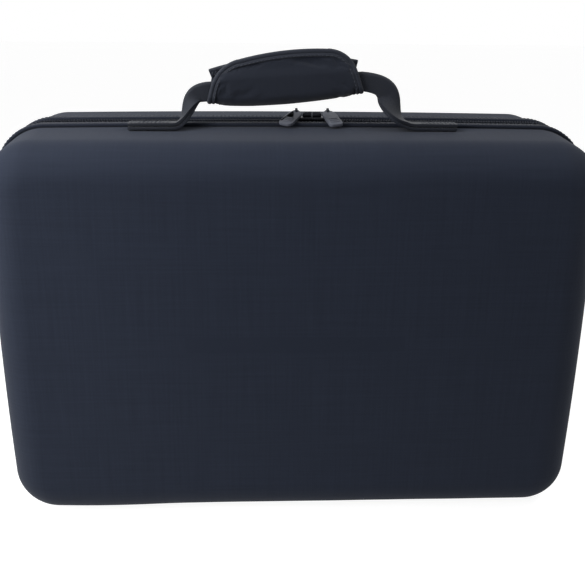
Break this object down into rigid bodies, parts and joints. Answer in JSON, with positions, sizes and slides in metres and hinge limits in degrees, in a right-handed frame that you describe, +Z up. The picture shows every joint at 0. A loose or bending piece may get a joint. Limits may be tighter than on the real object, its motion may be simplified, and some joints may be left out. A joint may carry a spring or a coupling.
{
  "type": "hard console carrying bag",
  "caption": "Hard-shell carrying bag for a games console, with a zip round three sides, a fabric hinge, a padded grip handle and foam inside.",
  "frame": {"origin": "centre of the bag's footprint on the surface it stands on, in the plane of the zipper", "axes": "+X to the right seen from the lid's face, +Y from the lid to the base, +Z up towards the handle"},
  "size_m": [0.449, 0.174, 0.3509],
  "materials": {
    "shell_cloth": "matte",
    "trim_webbing": "matte",
    "binding_tape": "matte",
    "zipper_cloth": "matte",
    "zipper_teeth": "satin",
    "hinge_cloth": "matte",
    "slider_metal": "satin",
    "pull_rubber": "matte",
    "handle_webbing": "matte",
    "wrap_cloth": "matte",
    "hook_loop": "matte",
    "backing_plastic": "matte",
    "foam": "matte",
    "net": "matte"
  },
  "bodies": {
    "base": {"rear_shell": "shell_cloth", "rear_trim": "trim_webbing", "rear_edge_binding": "binding_tape", "zipper_tape_rear": "zipper_cloth", "zipper_row_rear": "zipper_teeth", "zipper_end_left": "zipper_cloth", "zipper_end_right": "zipper_cloth", "hinge_strip": "hinge_cloth", "foam_cradle": "foam", "hold_strap_left": "handle_webbing", "hold_strap_right": "handle_webbing", "hold_patch_left": "hook_loop", "hold_patch_right": "hook_loop"},
    "lid": {"front_shell": "shell_cloth", "front_trim": "trim_webbing", "front_edge_binding": "binding_tape", "zipper_tape_front": "zipper_cloth", "zipper_row_front": "zipper_teeth", "handle_webbing": "handle_webbing", "handle_wrap": "wrap_cloth", "wrap_edge_tape": "binding_tape", "wrap_hook_patch": "hook_loop", "wrap_loop_patch": "hook_loop", "anchor_backing_left": "backing_plastic", "anchor_backing_right": "backing_plastic", "lid_pad": "foam", "pocket_net": "net", "pocket_hem": "binding_tape"},
    "slider_left": {"slider_left": "slider_metal"},
    "slider_right": {"slider_right": "slider_metal"},
    "pull_left": {"pull_ring_left": "slider_metal", "pull_tab_left": "pull_rubber"},
    "pull_right": {"pull_ring_right": "slider_metal", "pull_tab_right": "pull_rubber"}
  },
  "joints": [
    {"name": "lid_hinge", "type": "hinge", "parent": "base", "child": "lid", "pos_m": [0, 0, -0.0003], "axis": [1, 0, 0], "range_deg": [0, 180]},
    {"name": "slider_left_run", "type": "slide", "parent": "base", "child": "slider_left", "axis": [1, 0, 0], "range_m": [-0.055, 0]},
    {"name": "slider_right_run", "type": "slide", "parent": "base", "child": "slider_right", "axis": [1, 0, 0], "range_m": [0, 0.018]},
    {"name": "pull_left_lift", "type": "hinge", "parent": "slider_left", "child": "pull_left", "pos_m": [0.0025, 0, 0.30716], "axis": [-1, 0, 0], "range_deg": [0, 28]},
    {"name": "pull_right_lift", "type": "hinge", "parent": "slider_right", "child": "pull_right", "pos_m": [0.0265, 0, 0.30716], "axis": [-1, 0, 0], "range_deg": [0, 36]}
  ]
}
